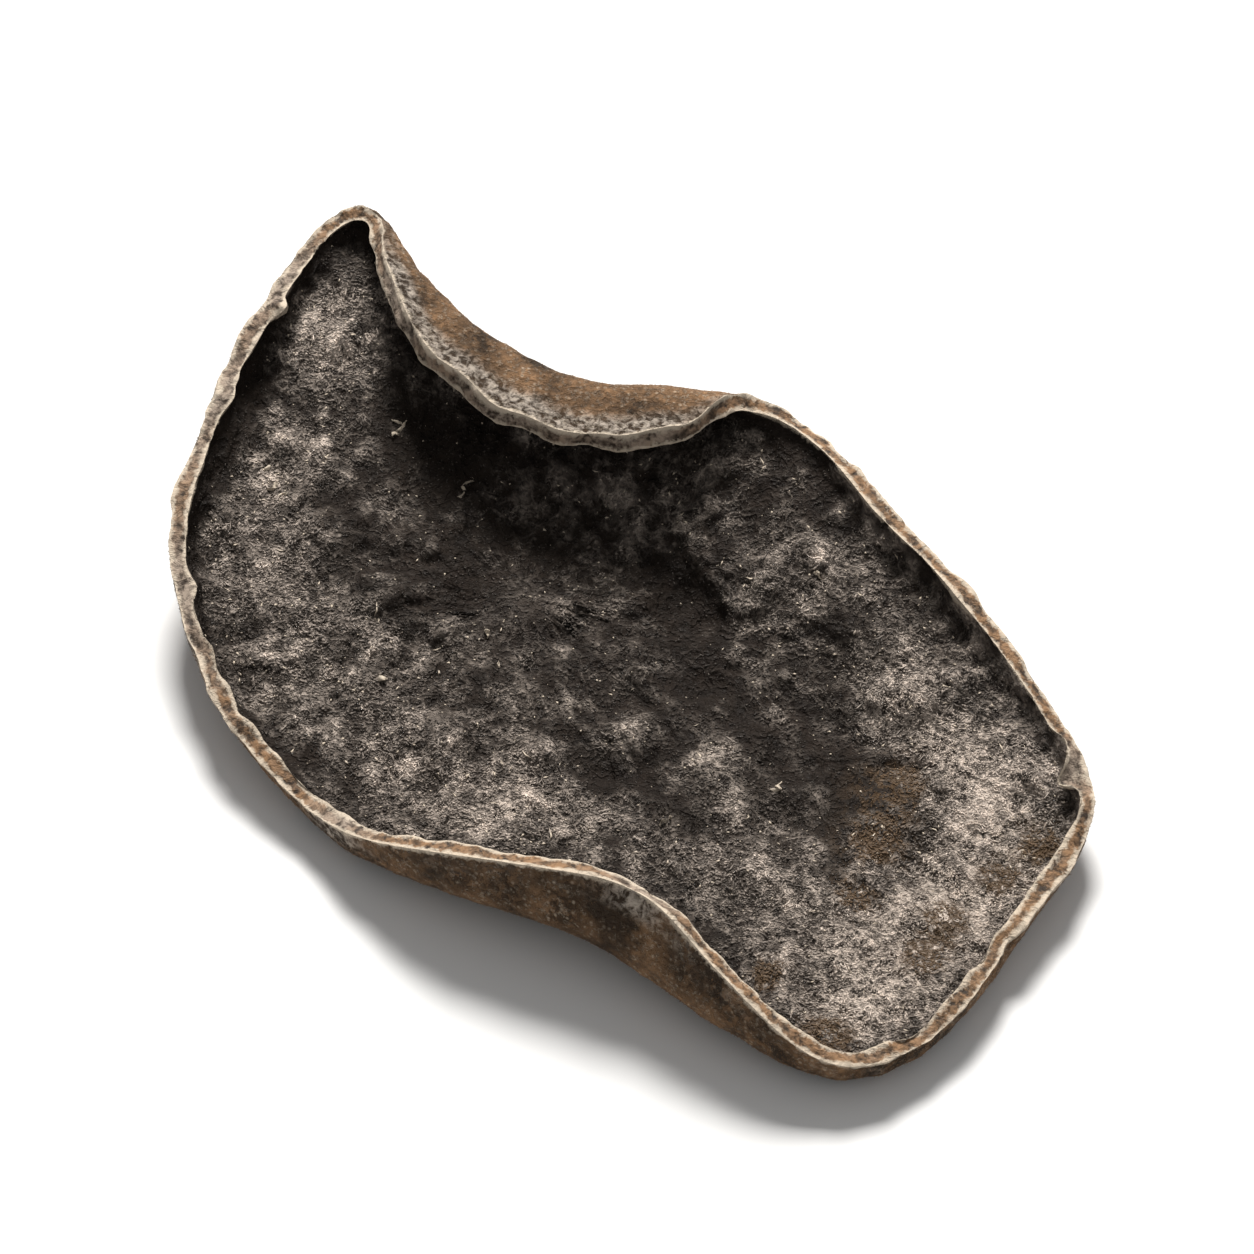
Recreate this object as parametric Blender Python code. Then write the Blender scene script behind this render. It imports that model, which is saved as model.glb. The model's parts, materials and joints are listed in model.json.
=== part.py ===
"""Dried wood ear mushroom: one thin cupped sheet with a rolled margin, resting on its cut stalk.

Metres, +Z up. The origin is on the surface that the ear rests on, under the middle of its box.
The near margin is at -Y and the pinched beak at +Y. The sheet is laid out in millimetres
as rows of points (from the stalk out to the lip) by spokes (around the margin).
"""

import math

import bmesh
import bpy
import numpy as np

MM = 0.001

# Wall of the dried sheet, thick over the stalk and thin at the lip
WALL_CENTRE = 1.25
WALL_LIP = 0.95
LIP_CREST = 0.12

# The sheet as a whole: how far it leans up to the back, and how deep the cup is
LEAN = 0.12
CUP_DEPTH = 1.1
SETTLE = 0.01

# Stalk stub under the sheet: its middle, then radius and share of the way down to the cut
STALK_X = -6.0
STALK_Y = 3.0
STALK_ROOT_RADIUS = 4.8
STALK_PROFILE = ((3.6, 0.35), (3.2, 0.70), (3.3, 1.0))
STALK_OVAL = 0.10
STALK_OVAL_TURN = math.radians(34)

# Grid of the sheet
SPOKES = 96
SHEET_ROWS = 10
ROLL_ROWS = 8
LIP_ROWS = 2
CENTRE_ROWS = (0.72, 0.38)
RELAX_STEPS = 600

# Stations of the margin, clockwise seen from above, starting at the beak: where its roll
# starts (x, y), how far it is lifted there, the radius of the roll, how many degrees it
# turns up and over, and how far its lip runs on straight.
LIFT, ROLL_RADIUS, ROLL_TURN, LIP_RUN = range(2, 6)
MARGIN = (
    (-14.2, 24.0, 2.2, 0.8, 90, 0.3),
    (-13.5, 23.1, 2.1, 0.9, 98, 0.3),
    (-12.4, 21.4, 1.9, 1.1, 98, 1.0),
    (-10.9, 19.4, 1.7, 1.3, 96, 2.0),
    (-7.6, 15.9, 1.6, 1.4, 101, 2.4),
    (-3.0, 13.2, 1.5, 1.35, 110, 2.5),
    (0.5, 12.6, 1.5, 1.3, 119, 2.4),
    (3.5, 12.2, 1.5, 1.15, 122, 1.7),
    (5.4, 11.8, 1.5, 1.0, 88, 0.6),
    (7.5, 10.8, 1.3, 1.2, 50, 0.3),
    (8.8, 8.8, 1.2, 1.5, 55, 0.5),
    (11.5, 4.5, 1.0, 1.7, 62, 0.6),
    (15.5, -1.0, 0.8, 1.7, 62, 0.6),
    (19.0, -6.4, 0.4, 1.5, 65, 0.5),
    (21.0, -10.4, 0.1, 1.2, 75, 0.4),
    (20.8, -12.8, -0.1, 1.2, 75, 0.5),
    (18.4, -16.8, -0.2, 1.3, 78, 0.7),
    (15.4, -22.0, 0.2, 1.3, 78, 0.7),
    (12.6, -25.4, 0.6, 1.3, 78, 0.7),
    (10.0, -26.5, 0.8, 1.3, 80, 0.6),
    (7.8, -25.7, 0.8, 1.6, 88, 1.0),
    (3.6, -22.8, 0.8, 2.0, 98, 1.8),
    (-2.0, -18.4, 0.8, 2.2, 100, 1.9),
    (-9.0, -14.7, 0.2, 2.0, 94, 1.4),
    (-13.0, -11.7, -0.8, 1.8, 88, 0.6),
    (-16.7, -7.4, -1.2, 1.7, 82, 0.6),
    (-19.6, -3.0, -1.1, 1.7, 80, 0.6),
    (-21.4, 1.8, -0.7, 1.7, 80, 0.6),
    (-21.8, 6.2, -0.4, 1.7, 80, 0.6),
    (-20.8, 11.1, 0.0, 1.6, 80, 0.6),
    (-19.4, 15.8, 0.6, 1.5, 80, 0.5),
    (-17.2, 20.6, 1.3, 1.2, 80, 0.4),
    (-15.3, 23.5, 1.9, 1.0, 75, 0.3),
)

# Uneven edge of the lip: waves around the margin, and how far each runs the lip in and out
LIP_WAVES = ((13, 0.09), (22, 0.06))

# Dimples and swellings of the sheet: x, y, radius and height
RELIEF = (
    (-1.5, -5.0, 2.6, -0.55),
    (2.0, 1.5, 3.0, -0.70),
    (10.0, -6.5, 3.4, -0.70),
    (5.0, -11.0, 3.0, 0.35),
    (13.5, -16.0, 3.6, -0.45),
    (-9.0, -6.0, 4.0, 0.35),
    (-16.0, 6.0, 3.6, 0.45),
    (-13.0, 13.5, 3.2, -0.35),
    (-4.0, 6.0, 3.4, -0.55),
    (-13.0, -8.8, 3.2, -0.75),
)

# Long swelling inside the right margin: its two ends, half width and height
RIDGE_START = (5.0, 8.0)
RIDGE_END = (17.5, -8.5)
RIDGE_WIDTH = 2.4
RIDGE_HEIGHT = 0.85

# Ribs that fan out from the stalk under the sheet: how many, the waves that crowd and spread
# them (number and size), and their height at shares of the way to the margin
RIB_COUNT = 11
RIB_SWAYS = ((2, 1.4), (5, 0.8))
RIB_PROFILE = ((0.0, 0.13), (0.175, 0.36), (1.0, 0.0))

INNER_FACE, OUTER_FACE = range(2)
INNER_COLOUR = (0.050, 0.043, 0.037, 1.0)
OUTER_COLOUR = (0.210, 0.150, 0.098, 1.0)
SHARP_ANGLE = math.radians(50)


def clear_scene():
    for item in list(bpy.data.objects):
        bpy.data.objects.remove(item, do_unlink=True)


def matt_material(name, colour, roughness):
    material = bpy.data.materials.new(name)
    material.use_nodes = True
    shader = material.node_tree.nodes["Principled BSDF"]
    shader.inputs["Base Color"].default_value = colour
    shader.inputs["Roughness"].default_value = roughness
    shader.inputs["Metallic"].default_value = 0.0
    return material


def round_the_margin(stations, count):
    """A closed smooth curve through the stations, closer-spaced where they stand closer."""
    points = np.array(stations, dtype=float)
    ahead = np.roll(points, -1, axis=0)
    steps = np.sqrt(np.linalg.norm((ahead - points)[:, :2], axis=1))
    chord_ahead = (ahead - points) / steps[:, None]
    chord_behind = np.roll(chord_ahead, 1, axis=0)
    steps_behind = np.roll(steps, 1)[:, None]
    weight = steps_behind + steps[:, None]
    slopes = (chord_behind * steps[:, None] + chord_ahead * steps_behind) / weight
    knots = np.concatenate(([0.0], np.cumsum(steps)))
    rows = []
    for place in np.linspace(0.0, knots[-1], count, endpoint=False):
        k = int(np.searchsorted(knots, place, side="right")) - 1
        t = (place - knots[k]) / steps[k]
        after = (k + 1) % len(points)
        rows.append(
            (2 * t**3 - 3 * t**2 + 1) * points[k]
            + (t**3 - 2 * t**2 + t) * steps[k] * slopes[k]
            + (3 * t**2 - 2 * t**3) * points[after]
            + (t**3 - t**2) * steps[k] * slopes[after]
        )
    return np.array(rows)


def ripple_lip(margin):
    """Lengthen and shorten the lip a little around the margin, as dried edges are."""
    turns = np.arange(SPOKES) * 2 * math.pi / SPOKES
    for count, run in LIP_WAVES:
        margin[:, LIP_RUN] += run * np.sin(count * (turns + 1))
    return margin


def stalk_circle(radius):
    """A slightly oval ring around the stalk, one point for each spoke, clockwise."""
    start = math.atan2(MARGIN[0][1] - STALK_Y, MARGIN[0][0] - STALK_X)
    angles = start - np.arange(SPOKES) * 2 * math.pi / SPOKES
    radii = radius * (1 + STALK_OVAL * np.cos(2 * angles + STALK_OVAL_TURN))
    return np.stack([STALK_X + radii * np.cos(angles), STALK_Y + radii * np.sin(angles)], axis=1)


def sheet_plan(foot):
    """Rows of plan points from the stalk to the foot of the margin, evened out like a net."""
    inner = stalk_circle(STALK_ROOT_RADIUS)
    share = np.linspace(0.0, 1.0, SHEET_ROWS + 1)[:, None, None]
    plan = inner * (1 - share) + foot * share
    for _ in range(RELAX_STEPS):
        around = np.roll(plan, 1, axis=1) + np.roll(plan, -1, axis=1)
        plan[1:-1] = (around[1:-1] + plan[:-2] + plan[2:]) / 4
    return plan


def relief(plan):
    """Height of the dimples, swellings and the long ridge at plan points."""
    height = np.zeros(plan.shape[:-1])
    for x, y, radius, rise in RELIEF:
        distance = np.hypot(plan[..., 0] - x, plan[..., 1] - y)
        height += rise * np.exp(-((distance / radius) ** 2))
    start = np.array(RIDGE_START)
    run = np.array(RIDGE_END) - start
    along = np.clip(((plan - start) @ run) / (run @ run), 0.0, 1.0)
    distance = np.linalg.norm(plan - start - along[..., None] * run, axis=-1)
    return height + RIDGE_HEIGHT * np.exp(-((distance / RIDGE_WIDTH) ** 2))


def sheet_height(plan, reach, lift):
    """Height of the sheet: its lean, the cup, the lifted margin and the relief."""
    cup = CUP_DEPTH * (reach**2 - 1)
    return LEAN * plan[..., 1] + cup + lift * reach**3 + relief(plan)


def unit(vectors):
    return vectors / np.linalg.norm(vectors, axis=-1, keepdims=True)


def roll_margin(sheet, margin):
    """Rows that carry the sheet on from its foot: up around the roll, then along the lip."""
    foot = sheet[-1]
    along = unit(np.roll(foot, -1, axis=0) - np.roll(foot, 1, axis=0))
    outward = foot - sheet[-2]
    normal = unit(np.cross(outward, along))
    normal *= np.sign(normal[:, 2:3])
    outward = np.cross(normal, along)
    radius = margin[:, ROLL_RADIUS, None]
    turn = np.radians(margin[:, ROLL_TURN, None])
    lip_run = margin[:, LIP_RUN, None]
    rows = []
    for k in range(1, ROLL_ROWS + 1):
        angle = turn * k / ROLL_ROWS
        rows.append(foot + radius * (np.sin(angle) * outward + (1 - np.cos(angle)) * normal))
    heading = np.cos(turn) * outward + np.sin(turn) * normal
    end = rows[-1]
    for k in range(1, LIP_ROWS + 1):
        rows.append(end + heading * lip_run * k / LIP_ROWS)
    return np.array(rows), heading


def sheet_normals(grid):
    """Unit normals of the sheet's rows, on the side of the cup's inner face."""
    around = np.roll(grid, -1, axis=1) - np.roll(grid, 1, axis=1)
    outward = np.gradient(grid, axis=0)
    normals = unit(np.cross(outward, around))
    return normals * np.sign(normals[0, 0, 2])


def fan_of_ribs(reach):
    """Thickness that the ribs add under the sheet, fading out before the margin."""
    spokes = np.arange(SPOKES) * 2 * math.pi / SPOKES
    sway = sum(size * np.sin(count * spokes) for count, size in RIB_SWAYS)
    swell = np.clip(np.cos(RIB_COUNT * spokes + sway), 0.0, 1.0) ** 2
    height = np.interp(reach, *zip(*RIB_PROFILE))
    return height[:, None] * swell[None, :]


def add_row(mesh, points):
    return [mesh.verts.new((x * MM, y * MM, z * MM)) for x, y, z in points]


def bridge(mesh, row, following, slot):
    """A band of four-sided faces between two rows of the same number of points."""
    count = len(row)
    for k in range(count):
        after = (k + 1) % count
        face = mesh.faces.new((row[k], row[after], following[after], following[k]))
        face.material_index = slot


def ear_layers():
    """Rows of points of the inner face, of the crest of the lip and of the outer face."""
    margin = ripple_lip(round_the_margin(MARGIN, SPOKES))
    plan = sheet_plan(margin[:, :2])
    reach = np.linspace(0.0, 1.0, SHEET_ROWS + 1)
    height = sheet_height(plan, reach[:, None], margin[None, :, LIFT])
    sheet = np.concatenate([plan, height[..., None]], axis=2)
    rolled, heading = roll_margin(sheet, margin)
    grid = np.concatenate([sheet, rolled])
    normals = sheet_normals(grid)

    reach = np.concatenate([reach, np.ones(len(rolled))])
    thinning = np.clip(np.arange(len(grid)) / SHEET_ROWS, 0.0, 1.0)
    half = 0.5 * (WALL_CENTRE + (WALL_LIP - WALL_CENTRE) * thinning)[:, None, None]
    inner = grid + half * normals
    outer = grid - half * normals - fan_of_ribs(reach)[..., None] * normals
    crest = grid[-1] + LIP_CREST * heading
    rise = SETTLE - outer[..., 2].min()
    for rows in (inner, outer, crest):
        rows[..., 2] += rise
    return inner, crest, outer


def cup_centre(inner_edge):
    """Rows and a middle point that close the inner face over the stalk."""
    middle = inner_edge.mean(axis=0)
    return [middle + (inner_edge - middle) * share for share in CENTRE_ROWS], middle


def stalk_rows(outer_edge):
    """Rows down the stub to its flat cut at the height of the surface."""
    rows = []
    for radius, share in STALK_PROFILE:
        height = outer_edge[:, 2] * (1 - share)
        rows.append(np.column_stack([stalk_circle(radius), height]))
    return rows


def make_ear():
    inner, crest, outer = ear_layers()
    mesh = bmesh.new()

    centre_rows, middle = cup_centre(inner[0])
    tip = mesh.verts.new(middle * MM)
    rows = [add_row(mesh, row) for row in reversed(centre_rows)]
    for k in range(SPOKES):
        mesh.faces.new((tip, rows[0][k], rows[0][(k + 1) % SPOKES]))
    rows += [add_row(mesh, row) for row in inner]
    for row, following in zip(rows, rows[1:]):
        bridge(mesh, row, following, INNER_FACE)

    outer_rows = [rows[-1], add_row(mesh, crest)]
    outer_rows += [add_row(mesh, row) for row in reversed(outer)]
    outer_rows += [add_row(mesh, row) for row in stalk_rows(outer[0])]
    for row, following in zip(outer_rows, outer_rows[1:]):
        bridge(mesh, row, following, OUTER_FACE)
    cut = mesh.faces.new(outer_rows[-1])
    cut.material_index = OUTER_FACE

    bmesh.ops.recalc_face_normals(mesh, faces=mesh.faces)
    data = bpy.data.meshes.new("ear")
    mesh.to_mesh(data)
    mesh.free()
    data.materials.append(matt_material("inner_face", INNER_COLOUR, 0.75))
    data.materials.append(matt_material("outer_face", OUTER_COLOUR, 0.90))
    data.shade_smooth()
    data.set_sharp_from_angle(angle=SHARP_ANGLE)
    ear = bpy.data.objects.new("ear", data)
    bpy.context.scene.collection.objects.link(ear)
    return ear


def centre_on_origin(ear):
    """Put the middle of the box over the origin, in plan."""
    corners = np.array([corner[:] for corner in ear.bound_box])
    middle = (corners.min(axis=0) + corners.max(axis=0)) / 2
    for vertex in ear.data.vertices:
        vertex.co.x -= middle[0]
        vertex.co.y -= middle[1]


clear_scene()
centre_on_origin(make_ear())
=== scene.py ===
"""Dried wood ear mushroom: the flesh, its nap and its stage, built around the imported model.

The ear's flesh is a finely divided copy of the model's solid, with the small relief of
the dried sheet raised in it. Small mesh shapes lie on it: a pale frost of fibres, grains
and crumbs and a few large flecks on the inner face of the cup, and a tan nap of short
hairs on the outer face.
"""

import heapq
import json
import math

import bpy
import numpy as np
from mathutils import Matrix, Vector, noise as soft_noise

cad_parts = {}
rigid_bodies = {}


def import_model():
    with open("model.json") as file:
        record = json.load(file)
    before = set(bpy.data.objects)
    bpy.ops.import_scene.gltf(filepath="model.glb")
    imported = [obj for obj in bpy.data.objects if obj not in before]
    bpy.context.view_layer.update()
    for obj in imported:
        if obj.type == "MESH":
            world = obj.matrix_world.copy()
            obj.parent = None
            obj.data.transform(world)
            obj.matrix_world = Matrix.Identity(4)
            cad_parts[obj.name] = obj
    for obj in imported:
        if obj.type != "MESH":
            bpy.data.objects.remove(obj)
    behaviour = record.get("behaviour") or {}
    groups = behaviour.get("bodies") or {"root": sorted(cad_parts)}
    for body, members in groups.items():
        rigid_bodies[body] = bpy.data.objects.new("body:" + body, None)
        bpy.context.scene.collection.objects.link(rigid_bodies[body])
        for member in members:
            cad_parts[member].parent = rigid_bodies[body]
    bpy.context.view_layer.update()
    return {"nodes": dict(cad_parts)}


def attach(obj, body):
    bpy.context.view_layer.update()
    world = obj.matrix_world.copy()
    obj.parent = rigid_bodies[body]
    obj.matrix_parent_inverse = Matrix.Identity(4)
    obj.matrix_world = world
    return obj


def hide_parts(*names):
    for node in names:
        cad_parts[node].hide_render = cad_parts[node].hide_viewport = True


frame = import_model()

bl_info = {
    "name": "Dried wood ear",
    "version": (1, 0, 0),
    "blender": (4, 5, 0),
    "location": "View3D > Sidebar > Wood ear",
    "description": "Finishes a dried wood ear mushroom and sets the stage that it is shown on",
    "category": "Object",
}

NODE = "ear"
BODY = "root"
MM = 0.001

# Faces of the flesh by material slot
INNER, OUTER, LIP, CUT = range(4)

# Where the model's sides meet, and how finely the lip is divided (mm)
SHARP_ANGLE = math.radians(52)
LIP_CREASE = 0.45
LIP_REACH = 1.1
LIP_STEP = 0.25

# Sizes of the relief of the flesh (mm), and of the worm-like wrinkles of its looks (m)
SWELL_SIZE = 3.2
PUCKER_SIZE = 1.3
UNEVEN_SIZE = 2.4
FRAY_SIZE = 0.7
WORM_SIZE = 0.00075

# Studio lights: name, place (m), size (m), power (W) and colour
LAMPS = (
    ("key", (0.0, 0.40, 0.48), 0.20, 6.6, (1.0, 0.985, 0.965)),
    ("fill", (0.20, -0.40, 0.45), 0.50, 0.2, (0.97, 0.985, 1.0)),
)
WORLD_LIGHT = 0.29

# Camera lens and sensor (mm)
LENS = 250.0
SENSOR = 36.0

# Amount of frost all over the inner face, and around the point where its columns of faces meet
FROST_BASE = 0.17
HUB_FROST = 0.17

# Where the frost lies thicker or thinner than that, partly as painted light and shade: x, y, radius (mm) and
# amount
# Some paler patches partly paint light on the lit right ridge, the left band, the corner and lumps; some
# thinner ones paint shade under the top roll and in dimples
FROST_AND_LIGHT_PATCHES = (
    (-16.0, 20.5, 3.2, 0.74),
    (-17.2, 13.5, 3.0, 0.38),
    (-18.6, 6.5, 3.4, 0.41),
    (-16.8, 0.5, 3.8, 0.38),
    (-11.5, -4.8, 3.6, 0.47),
    (-6.5, -9.2, 3.6, 0.60),
    (0.5, -12.0, 3.4, 0.22),
    (5.0, 11.0, 2.4, 0.22),
    (10.2, 4.2, 2.6, 0.34),
    (14.2, -2.8, 2.8, 0.84),
    (18.6, -8.0, 3.2, 0.74),
    (17.0, -13.5, 4.4, 0.66),
    (12.5, -19.5, 4.8, 0.76),
    (6.8, -13.5, 3.6, 0.38),
    (-10.5, 14.0, 4.0, -0.20),
    (-4.0, 11.0, 4.2, 0.02),
    (1.5, 10.5, 3.8, 0.04),
    (-8.0, 7.5, 3.6, -0.12),
    (3.0, 4.4, 2.2, -0.20),
    (-0.3, -3.7, 1.2, 0.22),
    (11.0, -7.0, 2.6, -0.24),
    (11.6, -21.6, 1.6, 0.45),
    (9.3, -16.4, 1.5, -0.28),
    (16.2, -19.6, 1.2, -0.20),
    (2.6, -9.0, 1.1, -0.18),
    (17.0, -14.0, 1.3, 0.40),
    (4.5, -5.6, 1.3, 0.30),
    (15.6, -6.1, 1.5, 0.35),
    (3.2, -0.8, 1.4, -0.20),
    (-1.6, -6.2, 1.1, -0.20),
    (-18.2, 11.6, 0.6, 0.45),
    (-14.4, 17.4, 1.3, 0.20),
    (-18.5, 9.8, 1.2, 0.35),
)

# Fold inside the margin, where the frost is worn off and the crease darkened as painted shade: distance from
# the lip, width (mm), and wear with painted shade
FOLD_PLACE = 0.8
FOLD_WIDTH = 0.65
FOLD_WEAR_AND_SHADE = 0.8

# Where that fold is wider: x, y, radius (mm) and amount
WIDE_FOLD = (-18.5, 15.5, 5.5, 1.0)

# Small marks of the rim: place (mm), radius (mm) and how far the flesh is moved there (mm)
RIM_MARKS = (
    ((-18.3, 20.1, 8.3), 0.90, (0.30, -0.20, 0.15)),
    ((-20.9, 14.9, 7.3), 0.60, (0.40, -0.20, 0.10)),
    ((-9.9, 15.3, 9.2), 1.50, (-0.10, -0.30, -0.25)),
    ((-6.9, 13.0, 8.8), 2.00, (-0.30, -1.00, -0.75)),
    ((-3.5, 11.7, 8.6), 2.00, (-0.10, -0.78, -0.58)),
    ((0.0, 11.4, 8.7), 2.00, (0.00, -0.88, -0.62)),
    ((3.2, 12.1, 8.6), 1.60, (0.00, -0.55, -0.40)),
    ((-22.1, 3.5, 4.7), 0.70, (0.35, -0.05, 0.10)),
    ((-22.9, 7.7, 4.9), 0.50, (0.40, 0.00, -0.35)),
    ((-21.6, -0.5, 4.3), 0.90, (0.25, 0.20, -0.15)),
    ((-19.6, -4.2, 3.6), 0.80, (-0.20, -0.20, 0.20)),
    ((22.6, -8.3, 3.9), 0.60, (-1.10, -0.45, -0.35)),
    ((21.7, -6.9, 4.3), 0.80, (0.20, 0.15, 0.45)),
    ((23.4, -10.2, 3.6), 0.85, (0.10, 0.15, 0.50)),
    ((18.9, -18.6, 2.7), 0.70, (-0.30, 0.20, -0.20)),
    ((12.6, -24.6, 2.9), 0.80, (0.10, 0.30, 0.20)),
    ((2.4, -19.8, 6.2), 0.80, (0.10, -0.25, 0.15)),
)

# Round beads on the inner edge of the rim: place, radius and height (mm)
BEADS = (
    ((-18.1, 20.0, 8.5), 0.50, 0.45),
    ((-20.2, 15.9, 7.7), 0.35, 0.22),
    ((-21.8, 9.1, 5.6), 0.35, 0.20),
    ((-20.2, -2.4, 4.4), 0.40, 0.20),
)

# Brown stains of the inner face near the square corner: x, y, radius (mm)
STAINS = (
    (13.2, -7.5, 1.7),
    (12.5, -10.8, 1.6),
    (18.5, -13.2, 1.1),
    (15.9, -15.7, 1.3),
    (14.8, -18.2, 1.3),
    (9.8, -23.2, 1.4),
    (11.4, -14.2, 1.1),
    (20.6, -11.4, 1.2),
    (7.0, -19.6, 1.0),
)

# Dark blotches of the outer face below the front crest: x, y, radius (mm)
BLOTCHES = (
    (-11.4, -14.2, 1.1),
    (-8.6, -15.6, 1.4),
    (-6.0, -16.9, 1.3),
    (-3.2, -18.2, 1.3),
    (-0.6, -19.4, 0.9),
    (3.1, -21.8, 1.4),
    (6.8, -25.0, 1.0),
    (9.8, -26.4, 0.9),
)

# Lumps and dimples of the inner face: x, y, radius and height (mm)
LUMPS = (
    (1.2, 6.6, 1.1, -0.45),
    (2.6, 5.1, 1.3, -0.60),
    (4.2, 3.6, 0.9, -0.40),
    (3.2, -0.8, 1.2, -0.60),
    (-0.3, -3.8, 1.2, 0.85),
    (1.1, -5.2, 0.7, -0.45),
    (-1.3, -6.0, 0.9, -0.50),
    (-5.1, 0.2, 0.5, -0.30),
    (4.7, 11.4, 1.2, 0.30),
    (1.1, -0.2, 1.0, 0.30),
    (4.4, -5.3, 1.5, 0.35),
    (9.9, -3.2, 1.3, -0.35),
    (7.2, 4.6, 1.0, 0.30),
    (-15.2, 10.4, 1.2, -0.30),
    (-11.8, 1.8, 1.2, 0.25),
    (-9.6, -3.2, 1.1, -0.30),
    (7.6, -9.4, 1.2, -0.30),
    (10.8, -17.0, 1.6, 0.30),
    (14.6, -11.8, 1.2, -0.25),
)

# Veins of the inner face: x and y of both ends, width and height (mm)
VEINS = (
    (-4.5, 4.9, -2.0, 1.9, 0.28, 0.24),
    (-3.2, 5.3, -1.0, 3.1, 0.25, 0.18),
    (1.7, 10.2, 3.2, 7.2, 0.30, 0.24),
    (4.3, 9.7, 6.9, 8.7, 0.35, 0.34),
    (4.7, 4.9, 6.1, 0.4, 0.35, 0.34),
    (-1.6, -2.1, 1.7, 0.4, 0.28, 0.22),
    (6.1, -3.1, 8.3, -1.6, 0.30, 0.26),
    (-0.1, 1.4, 1.4, -1.1, 0.25, 0.22),
    (9.1, 6.7, 10.9, 3.9, 0.35, 0.34),
    (8.0, 7.6, 9.6, 4.6, 0.25, 0.20),
    (-14.1, -0.6, -11.9, 2.4, 0.35, 0.22),
    (-9.5, 4.6, -7.4, 0.9, 0.28, 0.20),
    (-7.5, -2.1, -4.6, -1.2, 0.28, 0.18),
    (-4.4, -4.6, -2.3, -7.4, 0.28, 0.20),
    (2.3, -8.4, 5.6, -7.1, 0.30, 0.22),
    (7.4, -6.6, 9.2, -10.1, 0.30, 0.22),
    (11.6, -0.4, 13.1, -4.6, 0.32, 0.26),
    (-15.8, 13.6, -13.6, 10.1, 0.32, 0.24),
    (16.4, -8.2, 18.4, -11.2, 0.60, 0.30),
    (10.5, -18.7, 15.6, -13.4, 0.65, 0.40),
    (5.4, -17.7, 9.6, -20.2, 0.55, 0.34),
    (6.6, -14.6, 8.4, -18.8, 0.35, 0.24),
    (19.2, -6.9, 21.4, -9.4, 0.35, 0.24),
)

# Start of the noise that makes the veins crooked, without which it follows the clock
STRAY_SEED = 7

# Pale flecks of the inner face: x, y, length (mm) and direction (degrees)
FLECKS = (
    (-11.6, 15.6, 1.5, -21),
    (-11.9, 14.7, 1.0, 49),
    (-8.2, 12.2, 1.7, 65),
    (-8.7, 11.2, 0.7, 50),
    (-4.3, 9.4, 0.3, 0),
    (4.6, 6.1, 0.5, 0),
    (9.8, 4.5, 0.7, -50),
    (-18.3, 11.0, 0.8, 50),
    (-17.8, 10.2, 0.6, 30),
    (-18.6, 12.2, 0.5, 80),
    (-7.3, 2.2, 0.5, 70),
    (-6.6, 0.2, 0.3, 0),
    (-12.4, -0.3, 0.5, 40),
    (2.0, -9.6, 0.8, 10),
    (7.7, -7.7, 0.7, 60),
    (20.0, -9.5, 0.3, 0),
)

# Where the dry lip is grey rather than tan: x, y, radius (mm)
GREY_LIP = (
    (-22.0, 3.0, 4.5),
    (-20.5, 14.5, 4.5),
    (-17.5, 22.0, 2.5),
    (-11.5, 19.5, 4.0),
    (-6.0, 14.0, 4.0),
    (0.5, 12.0, 3.5),
    (-14.0, -10.5, 2.0),
    (1.0, -18.5, 2.0),
    (22.5, -8.0, 1.6),
)


# Kinds of setting that a user may change

def length_setting(name, description, default):
    return bpy.props.FloatProperty(
        name=name, description=description, default=default, unit="LENGTH", subtype="DISTANCE"
    )


def colour_setting(name, description, default):
    return bpy.props.FloatVectorProperty(
        name=name, description=description, default=default, size=3, subtype="COLOR"
    )


def count_setting(name, description, default):
    return bpy.props.IntProperty(name=name, description=description, default=default)


class WoodEarShape(bpy.types.PropertyGroup):
    wrinkle: length_setting("Wrinkles", "Height of the wrinkles of the inner face", 0.0007)
    wrinkle_size: length_setting("Wrinkle size", "Size of the wrinkles of the inner face", 0.0019)
    pucker: length_setting("Puckers", "Height of the puckers of the outer face", 0.0003)
    crumple: length_setting("Crumples", "Height of the fine crumples of the inner face", 0.00022)
    crumple_size: length_setting("Crumple size", "Size of the fine crumples of the inner face", 0.0007)
    uneven: length_setting("Uneven lip", "How much the thickness of the lip changes along it", 0.0006)
    swell: length_setting("Swellings", "Height of the broad swellings of the inner face", 0.0013)
    fray: length_setting("Fray", "How far the edges of the lip wander in and out", 0.00018)
    groove: length_setting(
        "Lip groove",
        "How far the middle of the lip has shrunk in between its two edges",
        0.00010,
    )


class WoodEarFibres(bpy.types.PropertyGroup):
    frost_length: length_setting(
        "Frost fibre length",
        "Length of the pale fibres on the inner face",
        0.0004,
    )
    frost_thickness: length_setting(
        "Frost fibre thickness",
        "Thickness of the pale fibres on the inner face",
        0.00008,
    )
    frost_count: count_setting("Frost fibres", "About how many pale fibres lie on the inner face", 11000)
    grain_length: length_setting(
        "Frost grain length",
        "Length of the pale grains between the fibres of the inner face",
        0.00021,
    )
    grain_thickness: length_setting(
        "Frost grain thickness",
        "Thickness of the pale grains between the fibres of the inner face",
        0.00009,
    )
    grain_count: count_setting("Frost grains", "About how many pale grains lie on the inner face", 32000)
    crumb_length: length_setting(
        "Frost crumb length",
        "Length of the smallest pale crumbs of the inner face",
        0.00016,
    )
    crumb_thickness: length_setting(
        "Frost crumb thickness",
        "Thickness of the smallest pale crumbs of the inner face",
        0.0001,
    )
    crumb_count: count_setting(
        "Frost crumbs",
        "About how many of the smallest crumbs lie on the inner face",
        31000,
    )
    nap_length: length_setting("Nap length", "Length of the hairs on the outer face", 0.0002)
    nap_thickness: length_setting("Nap thickness", "Thickness of the hairs on the outer face", 0.00004)
    nap_count: count_setting("Nap hairs", "About how many hairs stand on the outer face", 44000)


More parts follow.
